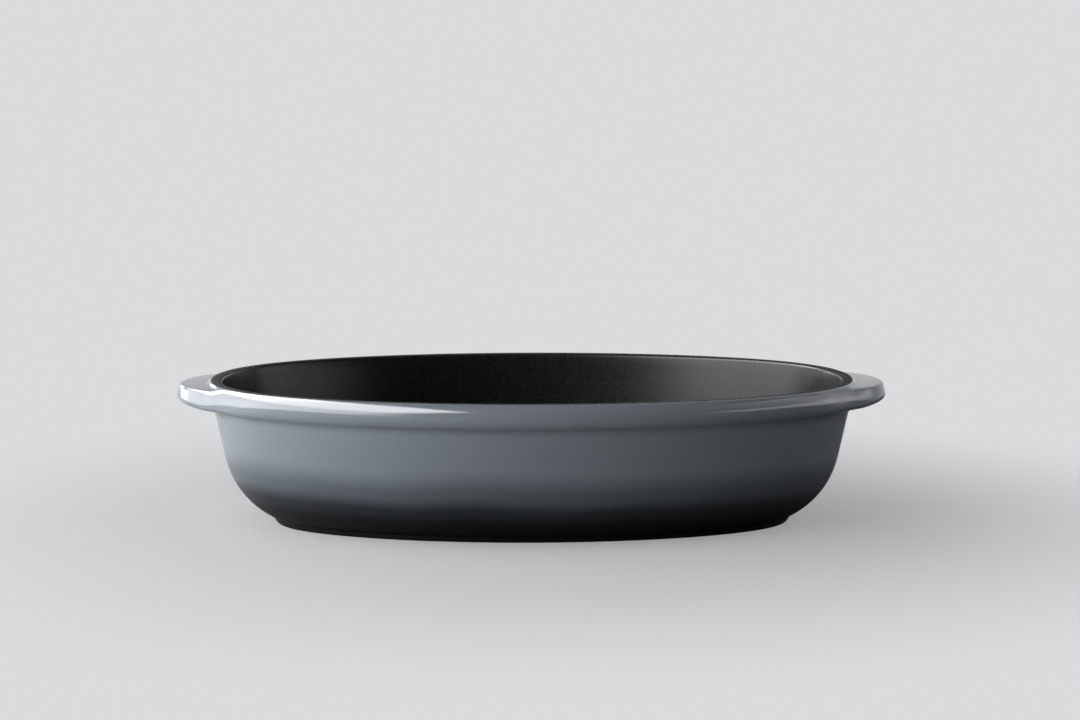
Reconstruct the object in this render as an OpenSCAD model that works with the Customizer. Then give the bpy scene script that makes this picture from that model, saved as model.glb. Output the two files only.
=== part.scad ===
// Oval baking dish, cast in one piece with a tab handle at each long end.
// Millimetres, +Z up. The origin is the middle of the foot on the surface it stands on,
// and the long axis lies along X.

/* [Oval] */
// Length of the opening, over the outer edge of the flat rim
rim_length = 322; // [280:1:380]
// Width of the opening, over the outer edge of the flat rim
rim_width = 216; // [190:1:250]
// How much fuller than an ellipse the oval is at its four shoulders
shoulder_fullness = 4; // [1:0.5:6]
// Height from the foot to the rim
dish_height = 71.5; // [62:0.5:90]

/* [Rim and collar] */
// Width of the flat top of the rim
rim_flat = 2.8; // [2:0.1:6]
// Rounding of the rim's inner edge
rim_round = 1.8; // [0.8:0.1:2.5]
// How far the rounded collar stands out from the rim's outer edge
collar_reach = 4.6; // [2.5:0.1:8]
// Height of the collar, from the rim down to the crease under it
collar_height = 12.6; // [11:0.1:16]
// How far the collar's widest line lies under the rim, along the open sides
collar_belly = 6.3; // [5:0.1:8]
// Radius of the hollow crease between the collar and the wall
crease_radius = 3.2; // [1.5:0.1:5]

/* [Wall and floor] */
// Thickness of the wall where it is thinnest
wall_thickness = 4.2; // [3:0.1:7]
// Thickness of the floor inside the foot ring
floor_thickness = 5; // [4:0.1:9]
// How far the top of the wall stands out from the rim's outer edge, under the collar
neck_out = 0.2; // [-1:0.1:1.5]
// Angle by which the outside of the wall leans in on its way down
wall_draft = 12.5; // [6:0.5:16]
// Outer radius of the turn from the wall into the bottom
corner_radius = 42.5; // [38:0.5:50]
// Inner radius of the turn from the wall into the floor
inner_corner_radius = 36; // [30:0.5:40]

/* [Foot] */
// How far the foot stands in from the rim's outer edge
foot_inset = 30; // [26:0.1:36]
// Height of the foot's outer face
foot_height = 2.5; // [1.5:0.1:4]
// Width of the ring that the dish stands on
foot_ring = 7; // [4:0.5:14]
// Depth of the shallow hollow inside the foot ring
foot_hollow = 0.9; // [0.5:0.1:1.5]
// Size of the small bevel round the bottom of the foot
foot_edge = 0.7; // [0.3:0.1:1.2]

/* [Handles] */
// How far a handle's tip reaches out from the rim's outer edge
handle_reach = 18.5; // [16:0.5:32]
// Width of a handle, across the dish, where its round outline crosses the collar's
handle_width = 83; // [60:1:100]
// How gently a handle's outline turns into the collar's
handle_blend = 13.5; // [6:0.5:14]
// How far a handle stands out before it has its own full section
handle_form = 8; // [5:0.5:12]
// How far the handle's top lies under the rim at its root
handle_drop = 1.7; // [1:0.1:3.5]
// Width of the hollow lip that runs from the rim down to the handle's top
handle_lip = 4.4; // [3:0.1:8]
// How much further the handle's top falls on its way out
handle_fall = 0.3; // [0:0.1:2]
// Thickness of a handle at its tip
handle_tip = 8.5; // [6.5:0.1:9.5]
// Rounding of the edge between a handle's top and its side
handle_edge = 1.6; // [0.8:0.1:2]
// How far the top edge stands in from the side's widest line
handle_flank = 1; // [0.4:0.1:1.6]
// Rounding of the edge between a handle's side and its underside
handle_chin = 2.6; // [1.6:0.1:3.5]
// How far the collar's widest line lies under the rim beside the handles
handle_belly = 9.6; // [8:0.1:10.5]
// Width of the stretch beside a handle in which the collar's widest line comes up again
belly_turn = 42; // [20:1:45]

/* [Hidden] */

// Numbers of steps along the rounded stretches of the section
inner_corner_steps = 7;
rim_steps = 3;
lip_steps = 4;
edge_steps = 3;
chin_steps = 3;
crease_steps = 4;
corner_steps = 7;
// Numbers of steps round a quarter of the oval: handle tip, handle side and open wall
tip_steps = 6;
side_steps = 10;
open_steps = 17;

half_length = rim_length / 2;
half_width = rim_width / 2;
end_radius = half_width * half_width / half_length + 8 * shoulder_fullness;

// The oval. It is written by the direction of its outward normal, so that each level of the
// section is a true offset of the same curve and the wall keeps its thickness all round.

function ellipse_reach(angle) =
    sqrt(pow(half_length * cos(angle), 2) + pow(half_width * sin(angle), 2));

function oval_reach(angle) =
    ellipse_reach(angle) + shoulder_fullness * pow(sin(2 * angle), 2);

function oval_slide(angle) =
    (pow(half_width, 2) - pow(half_length, 2)) * sin(angle) * cos(angle) / ellipse_reach(angle)
    + 2 * shoulder_fullness * sin(4 * angle);

function oval_point(angle, out, level) = [
    (oval_reach(angle) + out) * cos(angle) - oval_slide(angle) * sin(angle),
    (oval_reach(angle) + out) * sin(angle) + oval_slide(angle) * cos(angle),
    level
];

// The handles. Seen from above, a handle ends in a circle through its tip and through the two
// places where it crosses the collar's outline.

handle_half = handle_width / 2;
handle_bow = handle_reach - collar_reach + pow(handle_half, 2) / (2 * (end_radius + collar_reach));
handle_curve = (pow(handle_half, 2) + pow(handle_bow, 2)) / (2 * handle_bow);
handle_centre = half_length + handle_reach - handle_curve;

// Distance from the rim's outer edge out to that circle. Where the normal misses the circle,
// it is as far inside the rim as the circle is round.
function circle_reach(angle) =
    let (
        rim = oval_point(angle, 0, 0),
        place = [abs(rim[0]) - handle_centre, rim[1]],
        along = place * [abs(cos(angle)), sin(angle)],
        room = pow(along, 2) - place * place + pow(handle_curve, 2)
    )
    room > 0 ? sqrt(room) - along : -handle_curve;

// The flange stands out by the circle's distance or by the collar's, whichever is more, with a
// soft turn between them.
function flange_reach(angle) =
    let (
        out = circle_reach(angle),
        near = max(1 - abs(out - collar_reach) / handle_blend, 0)
    )
    max(out, collar_reach) + pow(near, 3) * handle_blend / 6;

function smooth_step(t) = t <= 0 ? 0 : t >= 1 ? 1 : t * t * t * (t * (6 * t - 15) + 10);

// 1 on a handle, 0 on the plain collar.
function handle_share(reach) = smooth_step((reach - collar_reach) / handle_form);

// How far the collar's widest line lies under the rim.
function belly_drop(angle) =
    let (beside = (abs(oval_point(angle, 0, 0)[1]) - handle_half) / belly_turn)
    handle_belly + (collar_belly - handle_belly) * smooth_step(beside);

// Directions round the oval, closest together where the handles turn into the collar.

turn_from = atan2(handle_half - handle_blend, end_radius);
turn_to = atan2(handle_half + 2 * handle_blend, end_radius);

quarter_angles = concat(
    [for (i = [0 : tip_steps - 1]) turn_from * i / tip_steps],
    [for (i = [0 : side_steps - 1]) turn_from + (turn_to - turn_from) * i / side_steps],
    [for (i = [0 : open_steps - 1]) turn_to + (90 - turn_to) * i / open_steps]
);
quarter_count = len(quarter_angles);

function direction(i) =
    let (quarter = floor(i / quarter_count), step = i % quarter_count)
    quarter % 2 == 0
        ? quarter * 90 + quarter_angles[step]
        : (quarter + 1) * 90 - (step == 0 ? 90 : quarter_angles[quarter_count - step]);

directions = [for (i = [0 : 4 * quarter_count - 1]) direction(i)];

// The section, as [distance out from the rim's outer edge, level].

function arc_points(centre, radius, from, to, steps) = [
    for (i = [0 : steps])
        let (angle = from + (to - from) * i / steps)
        centre + radius * [cos(angle), sin(angle)]
];

rim_level = dish_height;
crease_level = rim_level - collar_height;

// Outer corner: a circle that meets the leaning wall and ends on the top of the foot.
lean = tan(wall_draft);
corner_room = neck_out + foot_inset - (crease_level - foot_height) * lean
    - corner_radius / cos(wall_draft);
corner_rise = (sqrt(pow(corner_room * lean, 2)
    - (1 + lean * lean) * (pow(corner_room, 2) - pow(corner_radius, 2)))
    - corner_room * lean) / (1 + lean * lean);
corner_centre = [corner_room + corner_rise * lean - foot_inset, foot_height + corner_rise];
corner_end = atan2(foot_height - corner_centre[1], -foot_inset - corner_centre[0]);

// Inner corner: a circle that rests on the floor and leaves the wall its thickness.
floor_level = foot_hollow + floor_thickness;
inner_centre = [
    corner_centre[0] + corner_radius - wall_thickness - inner_corner_radius,
    floor_level + inner_corner_radius
];
rim_centre = [-rim_flat, rim_level - rim_round];
inner_span = rim_centre - inner_centre;
inner_start = atan2(inner_span[1], inner_span[0])
    - acos((inner_corner_radius + rim_round) / norm(inner_span));

inside = concat(
    arc_points(inner_centre, inner_corner_radius, -90, inner_start, inner_corner_steps),
    arc_points(rim_centre, rim_round, 180 + inner_start, 90, rim_steps)
);

// The crease leaves the last point above it in the given direction and ends along the wall.

function wall_out(level) = neck_out + (level - crease_level) * lean;

function crease(top, way) =
    let (
        reach = (wall_out(top[1]) - top[0]) / (way[0] - way[1] * lean),
        turn = top + reach * way,
        foot = [wall_out(turn[1] - crease_radius), turn[1] - crease_radius]
    )
    [
        for (i = [1 : crease_steps])
            let (t = i / crease_steps)
            pow(1 - t, 2) * top + 2 * t * (1 - t) * turn + t * t * foot
    ];

// Collar and handle have the same number of points, so that one can turn into the other.
// The collar is half an oval, cut off where the crease takes over. Its angles run from the
// rim (0) over the widest line (90) to straight below the rim (180).

collar_lip = 40;
collar_nose = 130;
collar_last = 152;
upper_steps = edge_steps + 3;

function collar_point(angle, reach, belly) = [
    reach * sin(angle),
    rim_level - belly + (angle < 90 ? belly : collar_height - belly) * cos(angle)
];

function collar(reach, belly) =
    let (last = collar_point(collar_last, reach, belly))
    concat(
        [for (i = [0 : lip_steps]) collar_point(collar_lip * i / lip_steps, reach, belly)],
        [
            for (i = [1 : upper_steps])
                collar_point(collar_lip + (90 - collar_lip) * i / upper_steps, reach, belly)
        ],
        [
            for (i = [1 : chin_steps])
                collar_point(90 + (collar_nose - 90) * i / chin_steps, reach, belly)
        ],
        [last],
        crease(last, last - collar_point(collar_last - 1, reach, belly))
    );

// The handle: a hollow lip below the rim, a falling top, a round edge, a leaning side, a round
// chin and an underside that falls towards the wall.
handle_level = rim_level - handle_drop;
tip_bottom = handle_level - handle_fall - handle_tip;
under_slope = (tip_bottom - crease_level) / (handle_reach - handle_chin - collar_reach);

// The lip's curve leaves the rim's level and meets the handle's top; these are the shares of
// its width at which the two bends pull.
lip_rim_pull = 0.6;
lip_top_pull = 0.35;
// Where the handle is short, the lip takes this share of the room up to the edge.
lip_room_share = 0.9;
// The edge starts just short of level, and the chin ends just short of straight down.
edge_start = 88;
chin_end = -75;

function under_level(out) = crease_level + under_slope * (out - collar_reach);

function lip_points(width) = [
    for (i = [0 : lip_steps])
        let (t = i / lip_steps)
        pow(1 - t, 3) * [0, rim_level]
        + 3 * t * pow(1 - t, 2) * [width * lip_rim_pull, rim_level]
        + 3 * t * t * (1 - t) * [width * lip_top_pull, handle_level]
        + pow(t, 3) * [width, handle_level]
];

function handle(reach) =
    let (
        edge_centre = [
            reach - handle_flank - handle_edge,
            handle_level - handle_fall - handle_edge
        ],
        chin_centre = [reach - handle_chin, under_level(reach - handle_chin) + handle_chin],
        span = chin_centre - edge_centre,
        face = atan2(span[1], span[0]) + acos((handle_edge - handle_chin) / norm(span)),
        chin = arc_points(chin_centre, handle_chin, 0, chin_end, chin_steps),
        under_out = min(collar_reach, chin[chin_steps][0] - handle_edge),
        under_root = [under_out, under_level(under_out)]
    )
    concat(
        lip_points(min(handle_lip, edge_centre[0] * lip_room_share)),
        arc_points(edge_centre, handle_edge, edge_start, face, edge_steps),
        [chin_centre + handle_chin * [cos(face), sin(face)]],
        chin,
        [under_root],
        crease(under_root, [-1, -under_slope])
    );

// The foot's outer face leans in by this share of its bevel.
foot_lean_share = 0.25;

outside = concat(
    arc_points(corner_centre, corner_radius, -wall_draft, corner_end, corner_steps),
    [
        [-foot_inset - foot_edge * foot_lean_share, foot_edge],
        [-foot_inset - foot_edge, 0],
        [-foot_inset - foot_ring, 0],
        [-foot_inset - foot_ring - foot_hollow, foot_hollow]
    ]
);

function mix_points(a, b, share) = [for (i = [0 : len(a) - 1]) a[i] * (1 - share) + b[i] * share];

function flange(angle) =
    let (reach = flange_reach(angle))
    mix_points(collar(reach, belly_drop(angle)), handle(reach), handle_share(reach));

function section(angle) = concat(inside, flange(angle), outside);

// One closed skin: the section's levels are the rings, from the floor over the rim to the foot.
module baking_dish() {
    around = len(directions);
    sections = [for (angle = directions) section(angle)];
    rings = len(sections[0]);
    skin = [
        for (j = [0 : rings - 1], i = [0 : around - 1])
            oval_point(directions[i], sections[i][j][0], sections[i][j][1])
    ];
    sides = [
        for (j = [0 : rings - 2], i = [0 : around - 1])
            let (
                here = j * around + i,
                beside = j * around + (i + 1) % around
            )
            each [[here, beside, beside + around], [here, beside + around, here + around]]
    ];
    inner_floor = [for (i = [around - 1 : -1 : 0]) i];
    underside = [for (i = [0 : around - 1]) (rings - 1) * around + i];
    color("slategray") polyhedron(skin, concat(sides, [inner_floor, underside]), convexity = 6);
}

baking_dish();
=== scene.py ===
"""Oval enamelled baking dish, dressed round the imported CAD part.

The whole dish is one casting, so one piece stands for it: a fine loft of the same oval and the
same section as the CAD solid. The dish's sizes are in millimetres until its mesh is written. The
looks, the stage, the lights and the camera are in metres.
"""

import math

import bpy
import numpy as np
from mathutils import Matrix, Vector


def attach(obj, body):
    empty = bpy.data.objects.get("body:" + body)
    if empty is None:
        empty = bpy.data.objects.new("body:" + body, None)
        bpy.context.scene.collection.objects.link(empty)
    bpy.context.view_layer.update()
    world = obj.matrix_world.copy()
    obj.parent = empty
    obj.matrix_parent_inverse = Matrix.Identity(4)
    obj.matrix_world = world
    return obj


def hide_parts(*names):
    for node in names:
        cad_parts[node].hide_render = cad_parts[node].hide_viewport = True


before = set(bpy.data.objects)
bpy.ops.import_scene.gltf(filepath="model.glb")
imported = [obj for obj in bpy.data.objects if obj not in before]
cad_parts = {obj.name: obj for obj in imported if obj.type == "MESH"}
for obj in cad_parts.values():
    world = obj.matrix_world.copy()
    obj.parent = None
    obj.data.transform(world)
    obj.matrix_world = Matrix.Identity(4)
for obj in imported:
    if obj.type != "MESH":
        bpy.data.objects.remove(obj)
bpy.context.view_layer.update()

MM = 0.001

# The dish's sizes, as the CAD solid has them: first the oval of the rim's outer edge, which is
# filled out a little at its four shoulders, and the rim.
RIM_LENGTH = 322.0
RIM_WIDTH = 216.0
SHOULDER_FULLNESS = 4.0
DISH_HEIGHT = 71.5
RIM_FLAT = 2.8
RIM_ROUND = 1.8

# The collar. The belly is how far its widest line lies under the rim.
COLLAR_REACH = 4.6
COLLAR_HEIGHT = 12.6
COLLAR_BELLY = 6.3
CREASE_RADIUS = 3.2

# The wall, its turns and the foot. Distances inwards and outwards are from the rim's outer edge.
WALL_THICKNESS = 4.2
FLOOR_THICKNESS = 5.0
NECK_OUT = 0.2
WALL_DRAFT = math.radians(12.5)
CORNER_RADIUS = 42.5
INNER_CORNER_RADIUS = 36.0
FOOT_INSET = 30.0
FOOT_HEIGHT = 2.5
FOOT_RING = 7.0
FOOT_HOLLOW = 0.9
FOOT_EDGE = 0.7
FOOT_LEAN_SHARE = 0.25

# The handles, seen from above: the blend rounds the corner between a handle and the collar, and
# over the form's reach the collar's section turns into the handle's.
HANDLE_REACH = 18.5
HANDLE_WIDTH = 83.0
HANDLE_BLEND = 13.5
HANDLE_FORM = 8.0

# The handles in section: how far the top lies under the rim, how wide the lip between them is, how
# far the top falls outwards, how thick the tip is, the radius of the upper edge, how far that edge
# stays behind the tip, and the radius of the chin.
HANDLE_DROP = 1.7
HANDLE_LIP = 4.4
HANDLE_FALL = 0.3
HANDLE_TIP = 8.5
HANDLE_EDGE = 1.6
HANDLE_FLANK = 1.0
HANDLE_CHIN = 2.6

# Beside a handle the collar's belly is lower, and over the turn it comes up to its usual place.
HANDLE_BELLY = 9.6
BELLY_TURN = 42.0

# The collar's half oval starts at 0 on the rim. Here its lip, its nose and the oval itself end.
COLLAR_LIP_END = math.radians(40)
COLLAR_NOSE_END = math.radians(130)
COLLAR_END = math.radians(152)

# Where along its width a handle's lip is drawn to, and how much of the room it takes at most.
LIP_PULLS = (0.6, 0.35)
LIP_MOST = 0.9

# Where a handle's upper edge starts to turn, and where its chin stops.
BROW_START = math.radians(88)
CHIN_END = math.radians(-75)

# How finely the loft is cut: steps along the section, and steps round a quarter of the oval. The
# bare ground coat of the rim covers the first steps of the lip as well.
FLOOR_RINGS = 10
INNER_CORNER_STEPS = 22
INNER_WALL_STEPS = 8
RIM_STEPS = 8
FLAT_STEPS = 2
LIP_STEPS = 14
COAT_STEPS = 3
EDGE_STEPS = 8
FACE_STEPS = 2
CHIN_STEPS = 10
UNDER_STEPS = 3
CREASE_STEPS = 10
WALL_STEPS = 6
CORNER_STEPS = 24
TIP_STEPS = 30
SIDE_STEPS = 36
OPEN_STEPS = 40

# Edges that turn by more than this are shaded as sharp.
SHARP_FROM = math.radians(35)

# The skins, in the order of the dish's materials.
SKIN_INSIDE = 0
SKIN_OUTSIDE = 1
SKIN_COAT = 2

# The outside, at shares of the dish's height: black at the foot, blue-grey from the middle up. The
# dark lower part is partly the glaze's own fade and partly painted shade where the wall turns
# under.
OUTSIDE_GLAZE_AND_SHADE = [
    (0.00, (0.005, 0.006, 0.007)),
    (0.14, (0.012, 0.014, 0.016)),
    (0.23, (0.034, 0.039, 0.045)),
    (0.36, (0.130, 0.148, 0.170)),
    (0.56, (0.262, 0.293, 0.333)),
    (1.00, (0.285, 0.318, 0.358)),
]
INSIDE_COLOURS = [
    (0.0, (0.006, 0.006, 0.0065)),
    (0.1, (0.010, 0.010, 0.0105)),
    (1.0, (0.120, 0.120, 0.120)),
]
COAT_COLOURS = [
    (0.3, (0.007, 0.007, 0.0075)),
    (0.7, (0.016, 0.016, 0.017)),
]

# Over which metres of height the dull black turns into gloss, and how far noise clouds move that
# fade and the colours, painted shade included, up and down.
DULL_FADE = (0.006, 0.036)
FADE_DRIFT = (-0.0025, 0.0025)

# The finish. Pairs are the least and the most that a noise makes of it.
ENAMEL_IOR = 1.5
GLOSS_ROUGHNESS = (0.08, 0.12)
DULL_ROUGHNESS = 0.5
DULL_SPECULAR = 0.15
SATIN_ROUGHNESS = (0.26, 0.29)
SATIN_SPECULAR = 0.25
COAT_ROUGHNESS = (0.6, 0.75)
COAT_SPECULAR = 0.06

# Between which values the noises are read.
NOISE_SPAN = (0.3, 0.7)
CLOUD_SPAN = (0.25, 0.75)

# The pale specks inside: cells a metre, the soft edge of a speck as a share of its cell, which
# cells have one, and the tones of speck and mottle on the way through INSIDE_COLOURS.
SPECK_CELLS = 330
SPECK_EDGE = (0.05, 0.14)
SPECK_CHOICE = (0.87, 0.9)
SPECK_TONE = 0.5
MOTTLE_TONE = (0, 0.06)

# The stage is a sweep of paper: floor, bend and back wall.
STAGE_HALF = 6.0
STAGE_FRONT = -6.0
STAGE_BACK = 2.6
STAGE_BEND = 0.9
STAGE_TOP = 3.2
STAGE_STEPS = 16

# The paper, as shares of the backdrop's colour: light bounces off a darker one than the camera
# sees, and the dish's shadow lies on both.
BACKDROP_COLOUR = (0.70, 0.71, 0.72)
PAPER_SHADE = 0.30
PAPER_SEEN = 1.15
PAPER_ROUGHNESS = 0.9
PAPER_SPECULAR = 0.1

# It turns evenly pale behind the dish, over these metres along y. The camera sees it do so on
# every side, over these metres from the middle, and by this share already under the dish.
PAPER_FADE = (0.15, 0.9)
PAPER_ROUND = (0.12, 0.42)
PAPER_GLOW = 0.38

# Reflections show it pale on the key light's side too, less and less over these metres along x.
PAPER_KEY_SIDE = (-0.32, -0.04)

# How many panels a light with soft ends is made of, and how far apart they stand, because lights
# in the same place count once. Then the even light from all around.
STACKED_PANELS = 4
PANEL_GAP = 0.01
AIR_GLOW = 0.02

# The camera as fitted to the photo: film width and focal length are in millimetres.
CAMERA_FILM = 36
CAMERA_LENS = 98.2
CAMERA_PLACE = (-0.0337, -1.4837, 0.2536)
CAMERA_TARGET = (0.0040, 0, 0.0801)

HALF_LENGTH = RIM_LENGTH / 2
HALF_WIDTH = RIM_WIDTH / 2
CREASE_LEVEL = DISH_HEIGHT - COLLAR_HEIGHT
LEAN = math.tan(WALL_DRAFT)

# How round the oval is at its long ends, and the circle through a handle's tip that ends it there.
END_RADIUS = HALF_WIDTH ** 2 / HALF_LENGTH + 8 * SHOULDER_FULLNESS
HANDLE_HALF = HANDLE_WIDTH / 2
HANDLE_BOW = HANDLE_REACH - COLLAR_REACH + HANDLE_HALF ** 2 / (2 * (END_RADIUS + COLLAR_REACH))
HANDLE_CURVE = (HANDLE_HALF ** 2 + HANDLE_BOW ** 2) / (2 * HANDLE_BOW)
HANDLE_CENTRE = HALF_LENGTH + HANDLE_REACH - HANDLE_CURVE
HANDLE_LEVEL = DISH_HEIGHT - HANDLE_DROP
TIP_BOTTOM = HANDLE_LEVEL - HANDLE_FALL - HANDLE_TIP
UNDER_SLOPE = (TIP_BOTTOM - CREASE_LEVEL) / (HANDLE_REACH - HANDLE_CHIN - COLLAR_REACH)


# The oval, by the direction of its outward normal

def oval_points(angles, out):
    """Points of the oval at the given normal directions, moved outward by out."""
    cos, sin = np.cos(angles), np.sin(angles)
    ellipse = np.sqrt((HALF_LENGTH * cos) ** 2 + (HALF_WIDTH * sin) ** 2)
    reach = ellipse + SHOULDER_FULLNESS * np.sin(2 * angles) ** 2 + out
    slide = (HALF_WIDTH ** 2 - HALF_LENGTH ** 2) * sin * cos / ellipse
    slide = slide + 2 * SHOULDER_FULLNESS * np.sin(4 * angles)
    return reach * cos - slide * sin, reach * sin + slide * cos


def directions():
    """Normal directions round the oval, closest together where the handles turn."""
    turn_from = math.atan2(HANDLE_HALF - HANDLE_BLEND, END_RADIUS)
    turn_to = math.atan2(HANDLE_HALF + 2 * HANDLE_BLEND, END_RADIUS)
    quarter = np.concatenate([
        np.linspace(0, turn_from, TIP_STEPS, endpoint=False),
        np.linspace(turn_from, turn_to, SIDE_STEPS, endpoint=False),
        np.linspace(turn_to, math.pi / 2, OPEN_STEPS, endpoint=False),
    ])
    mirrored = math.pi - np.append(quarter[1:], math.pi / 2)[::-1]
    half = np.concatenate([quarter, mirrored])
    return np.concatenate([half, half + math.pi])


def mix(first, last, share):
    return first + (last - first) * share


def smooth_step(values):
    t = np.clip(values, 0, 1)
    return t ** 3 * (t * (6 * t - 15) + 10)


def flange_reach(angles):
    """How far collar or handle stands out from the rim's outer edge."""
    x, y = oval_points(angles, 0)
    x = np.abs(x) - HANDLE_CENTRE
    along = x * np.abs(np.cos(angles)) + y * np.sin(angles)
    room = along ** 2 - x ** 2 - y ** 2 + HANDLE_CURVE ** 2
    out = np.where(room > 0, np.sqrt(np.maximum(room, 0)) - along, -HANDLE_CURVE)
    near = np.maximum(1 - np.abs(out - COLLAR_REACH) / HANDLE_BLEND, 0)
    return np.maximum(out, COLLAR_REACH) + near ** 3 * HANDLE_BLEND / 6


def belly_drop(angles):
    """How far the collar's widest line lies under the rim: further beside the handles."""
    beside = (np.abs(oval_points(angles, 0)[1]) - HANDLE_HALF) / BELLY_TURN
    return HANDLE_BELLY + (COLLAR_BELLY - HANDLE_BELLY) * smooth_step(beside)


# The section, as rows of [distance out from the rim's outer edge, level]

def arc(centre, radius, start, end, steps):
    """Points of a circle from the start angle to the end angle, with both ends."""
    angles = np.linspace(start, end, steps + 1)
    return np.stack([centre[0] + radius * np.cos(angles), centre[1] + radius * np.sin(angles)], 1)


def line(start, end, steps):
    """Points from start to end, with the end but without the start."""
    t = np.linspace(0, 1, steps + 1)[1:, None]
    return np.array(start) * (1 - t) + np.array(end) * t


def outer_corner():
    """Centre and end angle of the circle that turns the wall into the foot."""
    room = NECK_OUT + FOOT_INSET - (CREASE_LEVEL - FOOT_HEIGHT) * LEAN
    room -= CORNER_RADIUS / math.cos(WALL_DRAFT)
    square = 1 + LEAN ** 2
    root = math.sqrt((room * LEAN) ** 2 - square * (room ** 2 - CORNER_RADIUS ** 2))
    rise = (root - room * LEAN) / square
    centre = (room + rise * LEAN - FOOT_INSET, FOOT_HEIGHT + rise)
    end = math.atan2(FOOT_HEIGHT - centre[1], -FOOT_INSET - centre[0])
    return centre, end


def inside_section():
    """From the edge of the floor up the wall and over the rim, almost to its outer edge."""
    corner, _ = outer_corner()
    floor_level = FOOT_HOLLOW + FLOOR_THICKNESS
    centre = np.array([
        corner[0] + CORNER_RADIUS - WALL_THICKNESS - INNER_CORNER_RADIUS,
        floor_level + INNER_CORNER_RADIUS,
    ])
    rim = np.array([-RIM_FLAT, DISH_HEIGHT - RIM_ROUND])
    span = rim - centre
    slope = math.atan2(span[1], span[0])
    slope -= math.acos((INNER_CORNER_RADIUS + RIM_ROUND) / np.hypot(*span))
    turn = arc(centre, INNER_CORNER_RADIUS, -math.pi / 2, slope, INNER_CORNER_STEPS)
    edge = arc(rim, RIM_ROUND, math.pi + slope, math.pi / 2, RIM_STEPS)
    wall = line(turn[-1], edge[0], INNER_WALL_STEPS)
    flat = line(edge[-1], (0, DISH_HEIGHT), FLAT_STEPS)
    return np.concatenate([turn, wall, edge[1:], flat[:-1]])


def wall_out(level):
    """How far the outer wall stands out at a level."""
    return NECK_OUT + (level - CREASE_LEVEL) * LEAN


def crease(top, way):
    """The hollow under the collar: a curve that leaves top along way and ends on the wall."""
    reach = (wall_out(top[1]) - top[0]) / (way[0] - way[1] * LEAN)
    turn = top + reach * way
    foot = np.array([wall_out(turn[1] - CREASE_RADIUS), turn[1] - CREASE_RADIUS])
    t = np.linspace(0, 1, CREASE_STEPS + 1)[1:, None]
    return (1 - t) ** 2 * top + 2 * t * (1 - t) * turn + t ** 2 * foot


def collar_section(reach, belly):
    """The plain collar: half an oval, cut off where the crease takes over.

    Each of its stretches has as many points as the same stretch of a handle.
    """
    face_points = EDGE_STEPS + FACE_STEPS + 3
    angles = np.concatenate([
        np.linspace(0, COLLAR_LIP_END, LIP_STEPS + 1),
        np.linspace(COLLAR_LIP_END, math.pi / 2, face_points)[1:],
        np.linspace(math.pi / 2, COLLAR_NOSE_END, CHIN_STEPS + 1)[1:],
        np.linspace(COLLAR_NOSE_END, COLLAR_END, UNDER_STEPS + 1)[1:],
    ])
    height = np.where(angles < math.pi / 2, belly, COLLAR_HEIGHT - belly)
    level = DISH_HEIGHT - belly + height * np.cos(angles)
    band = np.stack([reach * np.sin(angles), level], 1)
    fall = -(COLLAR_HEIGHT - belly) * math.sin(COLLAR_END)
    way = np.array([reach * math.cos(COLLAR_END), fall])
    return np.concatenate([band, crease(band[-1], way / np.hypot(*way))])


def lip_points(width):
    """The hollow lip from the rim down to a handle's top."""
    t = np.linspace(0, 1, LIP_STEPS + 1)[:, None]
    return (
        (1 - t) ** 3 * np.array([0, DISH_HEIGHT])
        + 3 * t * (1 - t) ** 2 * np.array([width * LIP_PULLS[0], DISH_HEIGHT])
        + 3 * t ** 2 * (1 - t) * np.array([width * LIP_PULLS[1], HANDLE_LEVEL])
        + t ** 3 * np.array([width, HANDLE_LEVEL])
    )


def under_level(out):
    """The level of a handle's underside."""
    return CREASE_LEVEL + UNDER_SLOPE * (out - COLLAR_REACH)


def handle_section(reach):
    """A handle: the lip, the falling top, the edge, the side, the chin and the underside."""
    edge = np.array([reach - HANDLE_FLANK - HANDLE_EDGE, HANDLE_LEVEL - HANDLE_FALL - HANDLE_EDGE])
    chin_out = reach - HANDLE_CHIN
    chin = np.array([chin_out, under_level(chin_out) + HANDLE_CHIN])
    span = chin - edge
    face = math.atan2(span[1], span[0]) + math.acos((HANDLE_EDGE - HANDLE_CHIN) / np.hypot(*span))
    lip = lip_points(min(HANDLE_LIP, edge[0] * LIP_MOST))
    brow = arc(edge, HANDLE_EDGE, BROW_START, face, EDGE_STEPS)
    side = arc(chin, HANDLE_CHIN, face, 0, FACE_STEPS)[:-1]
    turn = arc(chin, HANDLE_CHIN, 0, CHIN_END, CHIN_STEPS)
    root_out = min(COLLAR_REACH, turn[-1, 0] - HANDLE_EDGE)
    under = line(turn[-1], (root_out, under_level(root_out)), UNDER_STEPS)
    way = np.array([-1, -UNDER_SLOPE])
    return np.concatenate([lip, brow, side, turn, under, crease(under[-1], way)])


def flange_sections(angles):
    """The collar's and the handles' part of the section, one for each direction."""
    sections = []
    for reach, belly in zip(flange_reach(angles), belly_drop(angles)):
        share = smooth_step((reach - COLLAR_REACH) / HANDLE_FORM)
        collar, handle = collar_section(reach, belly), handle_section(reach)
        sections.append(collar * (1 - share) + handle * share)
    return np.array(sections)


def outside_section():
    """The corner under the wall's straight part, and the foot with the ring under it."""
    centre, end = outer_corner()
    corner = arc(centre, CORNER_RADIUS, -WALL_DRAFT, end, CORNER_STEPS)
    foot = np.array([
        [-FOOT_INSET - FOOT_EDGE * FOOT_LEAN_SHARE, FOOT_EDGE],
        [-FOOT_INSET - FOOT_EDGE, 0],
        [-FOOT_INSET - FOOT_RING, 0],
        [-FOOT_INSET - FOOT_RING - FOOT_HOLLOW, FOOT_HOLLOW],
    ])
    return corner, foot


# The mesh

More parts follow.
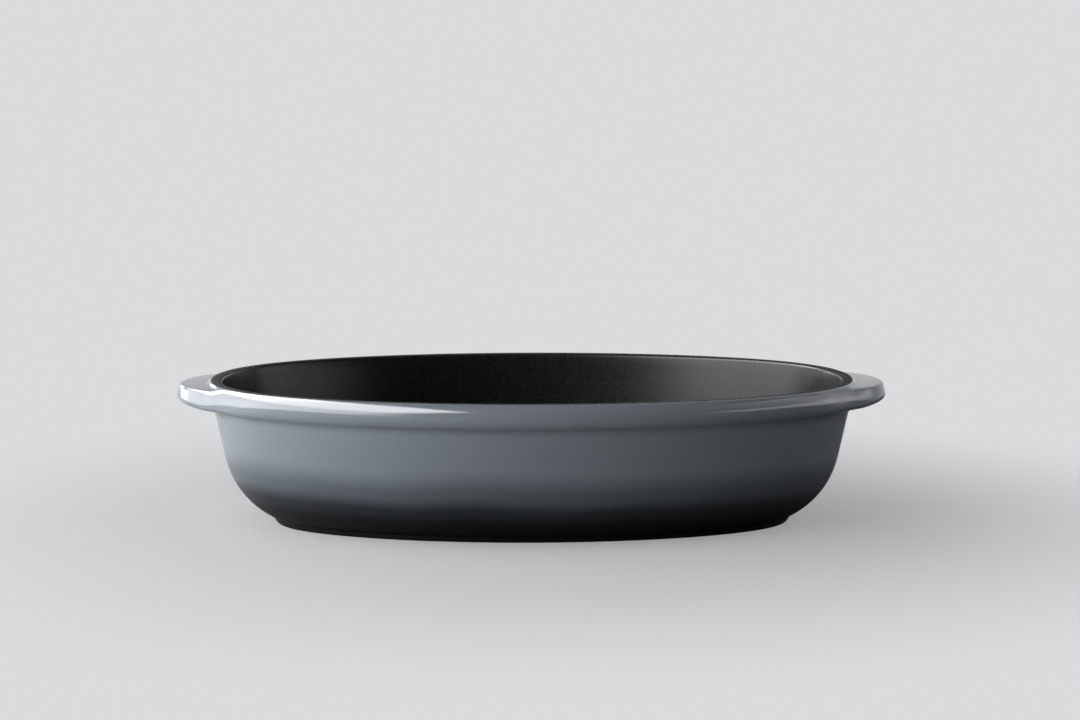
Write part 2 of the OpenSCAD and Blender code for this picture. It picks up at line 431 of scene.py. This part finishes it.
def full_section(angles):
    """The section for each direction, and the rows where the skins change.

    Those rows are halfway round the rim's inner edge, a little down the lip, and at the foot.
    """
    inside = inside_section()
    flange = flange_sections(angles)
    corner, foot = outside_section()
    steps = np.linspace(0, 1, WALL_STEPS + 1)[1:-1, None]
    wall = flange[:, -1:] * (1 - steps) + corner[0] * steps
    same = [np.repeat(rows[None], len(angles), axis=0) for rows in (inside, corner, foot)]
    section = np.concatenate([same[0], flange, wall, same[1], same[2]], axis=1)

    coat_start = len(inside) - FLAT_STEPS - RIM_STEPS // 2
    coat_end = len(inside) + COAT_STEPS
    foot_start = section.shape[1] - len(foot)
    return section, (coat_start, coat_end, foot_start)


def shrunk_rings(ring):
    """Smaller and smaller copies of a ring, towards its middle."""
    shares = 1 - np.arange(1, FLOOR_RINGS) / FLOOR_RINGS
    return [ring * (share, share, 1) for share in shares]


def dish_rings(angles, section):
    """The rings of the loft: the floor, the section's own, and the underside."""
    rings = []
    for row in range(section.shape[1]):
        x, y = oval_points(angles, section[:, row, 0])
        rings.append(np.stack([x, y, section[:, row, 1]], 1))
    return shrunk_rings(rings[0])[::-1] + rings + shrunk_rings(rings[-1])


def dish_faces(around, levels, changes):
    """Quads between the rings, a fan at either end, and the skin of each face.

    The middles of the floor and of the underside are the last two points.
    """
    here = np.arange(around)
    beside = (here + 1) % around
    floor_rings = FLOOR_RINGS - 1
    coat_start, coat_end, foot_start = (floor_rings + row for row in changes)
    faces = []
    skins = []
    for ring in range(levels - 1):
        top, low = ring * around, (ring + 1) * around
        faces += np.stack([top + here, low + here, low + beside, top + beside], 1).tolist()
        skin = SKIN_COAT
        if ring < coat_start:
            skin = SKIN_INSIDE
        elif coat_end <= ring < foot_start:
            skin = SKIN_OUTSIDE
        skins += [skin] * around

    middle = levels * around
    last = middle - around
    neighbours = list(zip(here.tolist(), beside.tolist()))
    faces += [(middle, i, n) for i, n in neighbours]
    faces += [(middle + 1, last + n, last + i) for i, n in neighbours]
    skins += [SKIN_INSIDE] * around + [SKIN_COAT] * around
    return faces, skins


def dish_mesh():
    """The dish as one closed mesh."""
    angles = directions()
    section, changes = full_section(angles)
    rings = dish_rings(angles, section)
    faces, skins = dish_faces(len(angles), len(rings), changes)
    middles = [[0, 0, rings[0][0, 2]], [0, 0, rings[-1][0, 2]]]
    points = np.concatenate(rings + [middles])

    mesh = bpy.data.meshes.new("baking_dish_casting")
    mesh.from_pydata((points * MM).tolist(), [], faces)
    mesh.polygons.foreach_set("material_index", skins)
    mesh.polygons.foreach_set("use_smooth", [True] * len(faces))
    mesh.set_sharp_from_angle(angle=SHARP_FROM)
    mesh.validate()
    mesh.update()
    return mesh


# Materials

def new_material(name):
    """A material with one shader, and what is needed to add more nodes to it."""
    material = bpy.data.materials.new(name)
    material.use_nodes = True
    nodes = material.node_tree.nodes
    nodes.clear()
    output = nodes.new("ShaderNodeOutputMaterial")
    shader = nodes.new("ShaderNodeBsdfPrincipled")
    material.node_tree.links.new(shader.outputs[0], output.inputs[0])
    return material, nodes, material.node_tree.links, shader


def add_place(nodes):
    """Where a point lies on the object itself."""
    return nodes.new("ShaderNodeTexCoord").outputs["Object"]


def add_noise(nodes, links, place, scale, detail):
    noise = nodes.new("ShaderNodeTexNoise")
    noise.inputs["Scale"].default_value = scale
    noise.inputs["Detail"].default_value = detail
    links.new(place, noise.inputs["Vector"])
    return noise.outputs["Fac"]


def add_math(nodes, links, operation, *values):
    node = nodes.new("ShaderNodeMath")
    node.operation = operation
    for socket, value in zip(node.inputs, values):
        if isinstance(value, (int, float)):
            socket.default_value = value
        else:
            links.new(value, socket)
    return node.outputs[0]


def add_range(nodes, links, value, span, results, smooth=False):
    """Turns the values from one end of span to the other into those of results."""
    node = nodes.new("ShaderNodeMapRange")
    if smooth:
        node.interpolation_type = "SMOOTHSTEP"
    node.inputs["From Min"].default_value = span[0]
    node.inputs["From Max"].default_value = span[1]
    node.inputs["To Min"].default_value = results[0]
    node.inputs["To Max"].default_value = results[1]
    links.new(value, node.inputs["Value"])
    return node.outputs["Result"]


def add_ramp(nodes, links, value, stops):
    """Turns values from 0 to 1 into the colours of the stops."""
    ramp = nodes.new("ShaderNodeValToRGB")
    ramp.color_ramp.interpolation = "EASE"
    elements = ramp.color_ramp.elements
    while len(elements) < len(stops):
        elements.new(0.5)
    for element, (place, colour) in zip(elements, stops):
        element.position = place
        element.color = (*colour, 1)
    links.new(value, ramp.inputs[0])
    return ramp.outputs[0]


def add_bump(nodes, links, height, strength, distance, below=None):
    """A bumpy surface, on top of the one below if that is given."""
    bump = nodes.new("ShaderNodeBump")
    bump.inputs["Strength"].default_value = strength
    bump.inputs["Distance"].default_value = distance
    links.new(height, bump.inputs["Height"])
    if below is not None:
        links.new(below, bump.inputs["Normal"])
    return bump.outputs[0]


def mix_shaders(nodes, links, share, first, second):
    """Lets the material turn from the first shader to the second as share grows to 1."""
    blend = nodes.new("ShaderNodeMixShader")
    links.new(share, blend.inputs[0])
    links.new(first.outputs[0], blend.inputs[1])
    links.new(second.outputs[0], blend.inputs[2])
    output = next(node for node in nodes if node.type == "OUTPUT_MATERIAL")
    links.new(blend.outputs[0], output.inputs[0])


def outside_enamel():
    """Glossy blue-grey enamel, duller black towards the foot: part glaze, part painted shade."""
    material, nodes, links, gloss = new_material("enamel_blue_grey")
    place = add_place(nodes)
    split = nodes.new("ShaderNodeSeparateXYZ")
    links.new(place, split.inputs[0])

    cloud = add_noise(nodes, links, place, scale=9, detail=2)
    drift = add_range(nodes, links, cloud, CLOUD_SPAN, FADE_DRIFT)
    level = add_math(nodes, links, "ADD", split.outputs["Z"], drift)
    height = add_range(nodes, links, level, (0, DISH_HEIGHT * MM), (0, 1))
    # Colour by height paints the lower wall darker: partly the glaze's fade, partly painted shade.
    colour = add_ramp(nodes, links, height, OUTSIDE_GLAZE_AND_SHADE)
    links.new(colour, gloss.inputs["Base Color"])
    streaks = add_noise(nodes, links, place, scale=55, detail=3)
    roughness = add_range(nodes, links, streaks, NOISE_SPAN, GLOSS_ROUGHNESS)
    links.new(roughness, gloss.inputs["Roughness"])
    gloss.inputs["IOR"].default_value = ENAMEL_IOR

    dull = nodes.new("ShaderNodeBsdfPrincipled")
    links.new(colour, dull.inputs["Base Color"])
    dull.inputs["Roughness"].default_value = DULL_ROUGHNESS
    dull.inputs["Specular IOR Level"].default_value = DULL_SPECULAR
    share = add_range(nodes, links, level, DULL_FADE, (1, 0), smooth=True)
    mix_shaders(nodes, links, share, gloss, dull)

    waves = add_noise(nodes, links, place, scale=70, detail=1)
    peel = add_noise(nodes, links, place, scale=420, detail=2)
    slow = add_bump(nodes, links, waves, strength=0.5, distance=0.0001)
    skin = add_bump(nodes, links, peel, strength=0.5, distance=0.00002, below=slow)
    for shader in (gloss, dull):
        links.new(skin, shader.inputs["Normal"])
    return material


def inside_enamel():
    """Satin black enamel with a fine grain and a few pale specks."""
    material, nodes, links, shader = new_material("enamel_satin_black")
    place = add_place(nodes)
    mottle = add_noise(nodes, links, place, scale=380, detail=3)
    specks = nodes.new("ShaderNodeTexVoronoi")
    specks.inputs["Scale"].default_value = SPECK_CELLS
    links.new(place, specks.inputs["Vector"])
    dots = add_range(nodes, links, specks.outputs["Distance"], SPECK_EDGE, (1, 0))
    chosen = nodes.new("ShaderNodeSeparateColor")
    links.new(specks.outputs["Color"], chosen.inputs[0])
    rare = add_range(nodes, links, chosen.outputs[0], SPECK_CHOICE, (0, 1))
    speck = add_math(nodes, links, "MULTIPLY", dots, rare)

    ground = add_range(nodes, links, mottle, NOISE_SPAN, MOTTLE_TONE)
    pale = add_math(nodes, links, "MULTIPLY", speck, SPECK_TONE)
    tone = add_math(nodes, links, "ADD", ground, pale)
    links.new(add_ramp(nodes, links, tone, INSIDE_COLOURS), shader.inputs["Base Color"])
    roughness = add_range(nodes, links, mottle, NOISE_SPAN, SATIN_ROUGHNESS)
    links.new(roughness, shader.inputs["Roughness"])
    shader.inputs["IOR"].default_value = ENAMEL_IOR
    shader.inputs["Specular IOR Level"].default_value = SATIN_SPECULAR

    grain = add_noise(nodes, links, place, scale=1100, detail=2)
    slow = add_bump(nodes, links, mottle, strength=0.4, distance=0.000005)
    skin = add_bump(nodes, links, grain, strength=0.5, distance=0.000006, below=slow)
    links.new(skin, shader.inputs["Normal"])
    return material


def ground_coat():
    """Dull black ground coat, bare on the rim's top and on the foot."""
    material, nodes, links, shader = new_material("ground_coat")
    place = add_place(nodes)
    mottle = add_noise(nodes, links, place, scale=240, detail=4)
    links.new(add_ramp(nodes, links, mottle, COAT_COLOURS), shader.inputs["Base Color"])
    roughness = add_range(nodes, links, mottle, NOISE_SPAN, COAT_ROUGHNESS)
    links.new(roughness, shader.inputs["Roughness"])
    shader.inputs["Specular IOR Level"].default_value = COAT_SPECULAR
    grain = add_noise(nodes, links, place, scale=900, detail=2)
    skin = add_bump(nodes, links, grain, strength=0.6, distance=0.00004)
    links.new(skin, shader.inputs["Normal"])
    return material


def add_glow_share(nodes, links, path):
    """How much the paper glows, by what looks at it: the camera or a reflection."""
    place = add_place(nodes)
    split = nodes.new("ShaderNodeSeparateXYZ")
    links.new(place, split.inputs[0])
    across = nodes.new("ShaderNodeVectorMath")
    across.operation = "LENGTH"
    links.new(place, across.inputs[0])

    behind = add_range(nodes, links, split.outputs["Y"], PAPER_FADE, (0, 1), smooth=True)
    away = add_range(
        nodes, links, across.outputs["Value"], PAPER_ROUND, (PAPER_GLOW, 1), smooth=True)
    pale = add_math(nodes, links, "MAXIMUM", behind, away)
    seen = add_math(nodes, links, "MULTIPLY", path["Is Camera Ray"], pale)

    mirror = add_math(nodes, links, "MAXIMUM", path["Is Glossy Ray"], path["Is Transmission Ray"])
    beside = add_range(nodes, links, split.outputs["X"], PAPER_KEY_SIDE, (1, 0), smooth=True)
    lit = add_math(nodes, links, "MAXIMUM", behind, beside)
    mirrored = add_math(nodes, links, "MULTIPLY", mirror, lit)
    return add_math(nodes, links, "MAXIMUM", seen, mirrored)


def stage_material():
    """Pale paper, lit by the lamps near the dish and seen evenly pale away from it."""
    material, nodes, links, paper = new_material("studio_paper")
    path = nodes.new("ShaderNodeLightPath").outputs
    tone = add_range(nodes, links, path["Is Camera Ray"], (0, 1), (PAPER_SHADE, PAPER_SEEN))
    tint = nodes.new("ShaderNodeVectorMath")
    tint.operation = "SCALE"
    tint.inputs[0].default_value = BACKDROP_COLOUR
    links.new(tone, tint.inputs["Scale"])
    links.new(tint.outputs[0], paper.inputs["Base Color"])
    paper.inputs["Roughness"].default_value = PAPER_ROUGHNESS
    paper.inputs["Specular IOR Level"].default_value = PAPER_SPECULAR

    glow = nodes.new("ShaderNodeEmission")
    glow.inputs["Color"].default_value = (*BACKDROP_COLOUR, 1)
    glow.inputs["Strength"].default_value = 1
    mix_shaders(nodes, links, add_glow_share(nodes, links, path), paper, glow)
    return material


# The dish, the stage, the lights and the camera

def build_dish():
    dish = bpy.data.objects.new("baking_dish_casting", dish_mesh())
    bpy.context.collection.objects.link(dish)
    for material in (inside_enamel(), outside_enamel(), ground_coat()):
        dish.data.materials.append(material)
    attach(dish, "root")
    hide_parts("baking_dish")


def build_stage():
    """A seamless sweep: floor, a wide bend and a wall behind."""
    profile = [(STAGE_FRONT, 0.0)]
    for step in range(STAGE_STEPS + 1):
        angle = math.pi / 2 * step / STAGE_STEPS
        y = STAGE_BACK - STAGE_BEND + STAGE_BEND * math.sin(angle)
        profile.append((y, STAGE_BEND - STAGE_BEND * math.cos(angle)))
    profile.append((STAGE_BACK, STAGE_TOP))
    points = [(x, y, z) for y, z in profile for x in (-STAGE_HALF, STAGE_HALF)]
    faces = [(2 * i, 2 * i + 1, 2 * i + 3, 2 * i + 2) for i in range(len(profile) - 1)]
    mesh = bpy.data.meshes.new("studio_sweep")
    mesh.from_pydata(points, [], faces)
    mesh.polygons.foreach_set("use_smooth", [True] * len(faces))
    sweep = bpy.data.objects.new("studio_sweep", mesh)
    bpy.context.collection.objects.link(sweep)
    mesh.materials.append(stage_material())


def look_at(thing, target):
    way = Vector(target) - thing.location
    thing.rotation_euler = way.to_track_quat("-Z", "Y").to_euler()


def add_softbox(name, place, target, width, height, glow, sheen_only=False):
    """A light as bright as glow, where 1 is white. Sheen only: just reflections show it."""
    light = bpy.data.lights.new(name, "AREA")
    light.shape = "RECTANGLE"
    light.size = width
    light.size_y = height
    light.energy = glow * math.pi * width * height
    box = bpy.data.objects.new(name, light)
    box.location = place
    bpy.context.collection.objects.link(box)
    look_at(box, target)
    box.visible_camera = False
    box.visible_diffuse = not sheen_only


def add_panel(name, low, high, front, back, glow, sheen_only=False):
    """A softbox beside the dish: low and high are the [x, z] of its edges along y."""
    middle = ((low[0] + high[0]) / 2, (front + back) / 2, (low[1] + high[1]) / 2)
    rise, run = high[1] - low[1], high[0] - low[0]
    inward = math.copysign(1, -low[0])
    facing = (middle[0] + inward * rise, middle[1], middle[2] - inward * run)
    add_softbox(name, middle, facing, back - front, math.hypot(rise, run), glow, sheen_only)


def add_soft_panel(name, low, high, fronts, backs, glow, sheen_only=False):
    """A panel with soft ends: a stack of panels, from the longest to the shortest."""
    apart = math.copysign(PANEL_GAP, low[0])
    for step in range(STACKED_PANELS):
        share = step / (STACKED_PANELS - 1)
        add_panel(
            "%s_%d" % (name, step),
            (low[0] + apart * step, low[1]),
            (high[0] + apart * step, high[1]),
            mix(*fronts, share),
            mix(*backs, share),
            glow / STACKED_PANELS,
            sheen_only,
        )


def build_key():
    """The strong light on the left: a wall, a roof over it, a low strip and a kicker behind."""
    seam = (-1.05, 0.62)
    add_soft_panel(
        "key_wall", low=(-1.05, 0.06), high=seam,
        fronts=(-2.0, -1.3), backs=(0.75, 0.15), glow=6.6)
    add_soft_panel(
        "key_roof", low=seam, high=(-0.46, 1.26),
        fronts=(-1.9, -1.5), backs=(1.2, 1.2), glow=12.0, sheen_only=True)
    add_panel("key_low", low=(-1.05, 0.04), high=(-1.04, 0.17), front=0.55, back=1.9, glow=3.0)
    add_softbox(
        "kicker_left", place=(-0.80, 1.40, 0.38), target=(0, 0, 0.30),
        width=0.3, height=0.3, glow=7.0)


def build_fill():
    """The weak light on the right: a wall and a roof over it."""
    seam = (1.12, 0.34)
    add_soft_panel(
        "fill_wall", low=(1.15, 0.11), high=seam,
        fronts=(-1.35, -1.0), backs=(0.50, 0.35), glow=2.3, sheen_only=True)
    add_soft_panel(
        "fill_roof", low=seam, high=(0.85, 1.10),
        fronts=(-0.80, -0.1), backs=(0.6, 0.3), glow=1.35)


def build_air():
    """A trace of white light from all around."""
    world = bpy.data.worlds.new("studio_air")
    bpy.context.scene.world = world
    world.use_nodes = True
    background = world.node_tree.nodes["Background"]
    background.inputs["Color"].default_value = (1, 1, 1, 1)
    background.inputs["Strength"].default_value = AIR_GLOW


def build_camera():
    """Seen from the front, a little above the rim, from about one and a half metres."""
    lens = bpy.data.cameras.new("camera")
    lens.sensor_width = CAMERA_FILM
    lens.lens = CAMERA_LENS
    camera = bpy.data.objects.new("camera", lens)
    camera.location = CAMERA_PLACE
    bpy.context.collection.objects.link(camera)
    look_at(camera, CAMERA_TARGET)
    bpy.context.scene.camera = camera


build_camera()
build_dish()
build_stage()
build_key()
build_fill()
build_air()
bpy.context.scene.view_settings.view_transform = "Standard"
